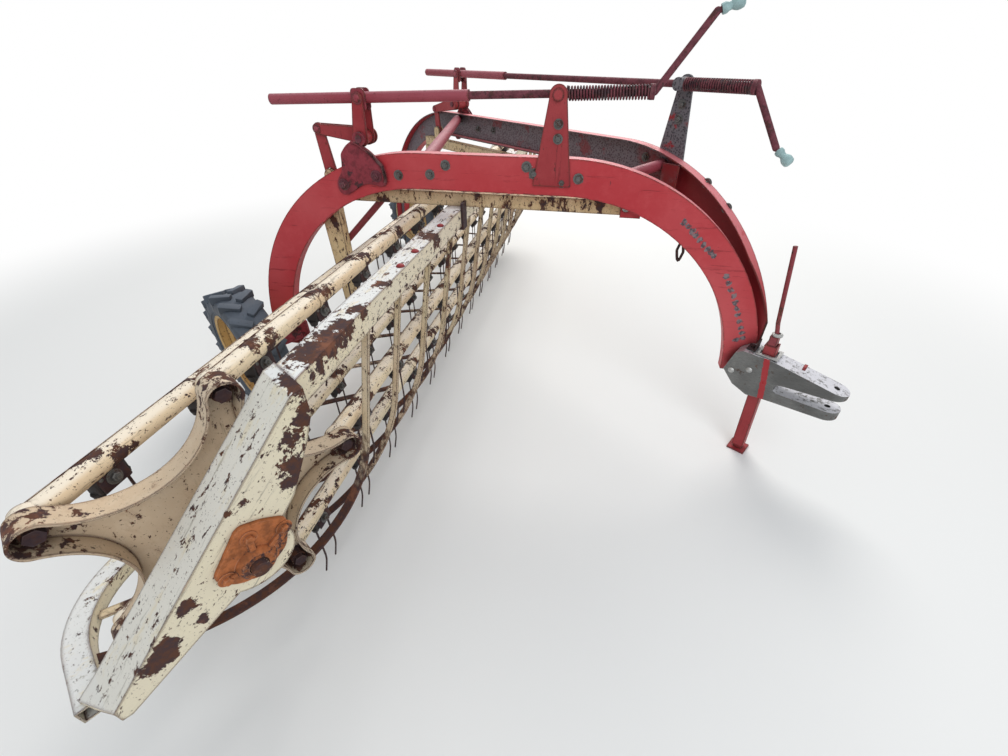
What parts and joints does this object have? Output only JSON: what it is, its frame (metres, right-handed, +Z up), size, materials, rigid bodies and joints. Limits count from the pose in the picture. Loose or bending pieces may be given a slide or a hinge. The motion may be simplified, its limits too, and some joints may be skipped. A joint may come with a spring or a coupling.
{
  "type": "side delivery rake",
  "caption": "Towed side delivery rake: an arched rail frame on wheels carries a slanting reel of tined bars, with crank lift gear, a clevis hitch and a sliding stand leg.",
  "frame": {"origin": "centre of the footprint on the ground", "axes": "+X forward in travel, +Y to the machine's left, +Z up"},
  "size_m": [3.65, 3.6126, 1.614],
  "materials": {
    "rail_paint": "sun-faded red paint, chalky",
    "red_paint": "faded red paint with rust",
    "cream_paint": "cream paint with rust patches",
    "bare_steel": "bare weathered steel",
    "rusty_steel": "rusted steel",
    "casting": "rough casting with rust",
    "grip": "weathered plastic",
    "tine_rubber": "aged black rubber with spring steel wires",
    "tyre": "dusty rubber",
    "rim_paint": "pale yellow paint, rusting"
  },
  "bodies": {
    "frame": {"right_rail": "rail_paint", "left_rail": "rail_paint", "cross_tubes": "red_paint", "hitch_fork": "bare_steel", "wheel_spindles": "casting", "arm_pivot_pins": "bare_steel", "lift_posts": "red_paint", "lift_screws": "bare_steel", "float_springs": "rusty_steel", "crank_grips": "grip", "lift_brackets": "red_paint"},
    "right_wheel": {"right_wheel_tyre": "tyre", "right_wheel_rim": "rim_paint"},
    "left_wheel": {"left_wheel_tyre": "tyre", "left_wheel_rim": "rim_paint"},
    "basket": {"main_beam": "cream_paint", "end_beams": "cream_paint", "reel_bearings": "casting", "rear_lower_tube": "cream_paint", "stripper_bars": "rusty_steel", "entry_guide": "rusty_steel", "suspension_arms": "red_paint", "arm_hangers": "red_paint", "beam_hooks": "red_paint", "brace_tube": "red_paint"},
    "front_reel": {"front_reel_head": "rusty_steel", "front_reel_pins": "bare_steel"},
    "rear_reel": {"rear_reel_head": "rusty_steel", "rear_reel_pins": "bare_steel"},
    "bar_1": {"tine_bar_1": "cream_paint", "tines_1": "tine_rubber"},
    "bar_2": {"tine_bar_2": "cream_paint", "tines_2": "tine_rubber"},
    "bar_3": {"tine_bar_3": "cream_paint", "tines_3": "tine_rubber"},
    "bar_4": {"tine_bar_4": "cream_paint", "tines_4": "tine_rubber"},
    "bar_5": {"tine_bar_5": "cream_paint", "tines_5": "tine_rubber"},
    "right_bell_crank": {"right_bell_crank": "red_paint"},
    "right_lift_strap": {"right_lift_strap": "red_paint"},
    "right_lift_tube": {"right_lift_tube": "red_paint"},
    "left_bell_crank": {"left_bell_crank": "red_paint"},
    "left_lift_strap": {"left_lift_strap": "red_paint"},
    "left_lift_tube": {"left_lift_tube": "red_paint"},
    "stand": {"stand_leg": "red_paint", "stand_handle": "bare_steel"}
  },
  "joints": [
    {"name": "basket_lift", "type": "hinge", "parent": "frame", "child": "basket", "pos_m": [0.9235, 0.2847, 0.997], "axis": [0, 1, 0], "range_deg": [0, 3]},
    {"name": "right_wheel_spin", "type": "hinge", "parent": "frame", "child": "right_wheel", "pos_m": [-0.335, -0.9683, 0.31], "axis": [0, 1, 0], "continuous": true},
    {"name": "left_wheel_spin", "type": "hinge", "parent": "frame", "child": "left_wheel", "pos_m": [-1.515, 0.9347, 0.31], "axis": [0, 1, 0], "continuous": true},
    {"name": "front_reel_spin", "type": "hinge", "parent": "basket", "child": "front_reel", "pos_m": [0.845, -1.4253, 0.635], "axis": [1, 0, 0], "continuous": true},
    {"name": "rear_reel_spin", "type": "hinge", "parent": "basket", "child": "rear_reel", "pos_m": [-0.96665, 1.46434, 0.635], "axis": [1, 0, 0], "continuous": true},
    {"name": "bar_1_swing", "type": "hinge", "parent": "front_reel", "child": "bar_1", "pos_m": [0.835, -1.33004, 0.92474], "axis": [1, 0, 0], "continuous": true},
    {"name": "bar_2_swing", "type": "hinge", "parent": "front_reel", "child": "bar_2", "pos_m": [0.835, -1.1203, 0.63394], "axis": [1, 0, 0], "continuous": true},
    {"name": "bar_3_swing", "type": "hinge", "parent": "front_reel", "child": "bar_3", "pos_m": [0.835, -1.33206, 0.3446], "axis": [1, 0, 0], "continuous": true},
    {"name": "bar_4_swing", "type": "hinge", "parent": "front_reel", "child": "bar_4", "pos_m": [0.835, -1.67267, 0.45659], "axis": [1, 0, 0], "continuous": true},
    {"name": "bar_5_swing", "type": "hinge", "parent": "front_reel", "child": "bar_5", "pos_m": [0.835, -1.67142, 0.81513], "axis": [1, 0, 0], "continuous": true},
    {"name": "right_crank_turn", "type": "hinge", "parent": "frame", "child": "right_bell_crank", "pos_m": [0.09339, -0.45389, 1.212], "axis": [-0.5344, 0.8453, 0], "range_deg": [0, 15.46]},
    {"name": "right_strap_turn", "type": "hinge", "parent": "right_bell_crank", "child": "right_lift_strap", "pos_m": [-0.12134, -0.49973, 1.232], "axis": [-0.5344, 0.8453, 0], "range_deg": [-12.98, 0]},
    {"name": "right_tube_slide", "type": "slide", "parent": "frame", "child": "right_lift_tube", "axis": [0.8449, 0.5341, 0.029], "range_m": [0, 0.03394]},
    {"name": "left_crank_turn", "type": "hinge", "parent": "frame", "child": "left_bell_crank", "pos_m": [-0.54289, 0.66819, 1.222], "axis": [0.1236, 0.9923, 0], "range_deg": [0, 24.12]},
    {"name": "left_strap_turn", "type": "hinge", "parent": "left_bell_crank", "child": "left_lift_strap", "pos_m": [-0.75472, 0.61799, 1.184], "axis": [0.1236, 0.9923, 0], "range_deg": [-27.36, 0]},
    {"name": "left_tube_slide", "type": "slide", "parent": "frame", "child": "left_lift_tube", "axis": [0.9923, -0.1236, 0.0056], "range_m": [0, 0.06014]},
    {"name": "stand_slide", "type": "slide", "parent": "frame", "child": "stand", "axis": [-0.0523, 0, 0.9986], "range_m": [0, 0.28]}
  ],
  "couplings": [
    {"joint": "rear_reel_spin", "follows": "front_reel_spin", "ratio": 1},
    {"joint": "bar_1_swing", "follows": "front_reel_spin", "ratio": -1},
    {"joint": "bar_2_swing", "follows": "front_reel_spin", "ratio": -1},
    {"joint": "bar_3_swing", "follows": "front_reel_spin", "ratio": -1},
    {"joint": "bar_4_swing", "follows": "front_reel_spin", "ratio": -1},
    {"joint": "bar_5_swing", "follows": "front_reel_spin", "ratio": -1},
    {"joint": "right_crank_turn", "follows": "basket_lift", "ratio": 5.1427},
    {"joint": "right_strap_turn", "follows": "basket_lift", "ratio": -4.3176},
    {"joint": "right_tube_slide", "follows": "basket_lift", "m_per_rad": 0.647},
    {"joint": "left_crank_turn", "follows": "basket_lift", "ratio": 8.023},
    {"joint": "left_strap_turn", "follows": "basket_lift", "ratio": -9.1034},
    {"joint": "left_tube_slide", "follows": "basket_lift", "m_per_rad": 1.1463}
  ]
}
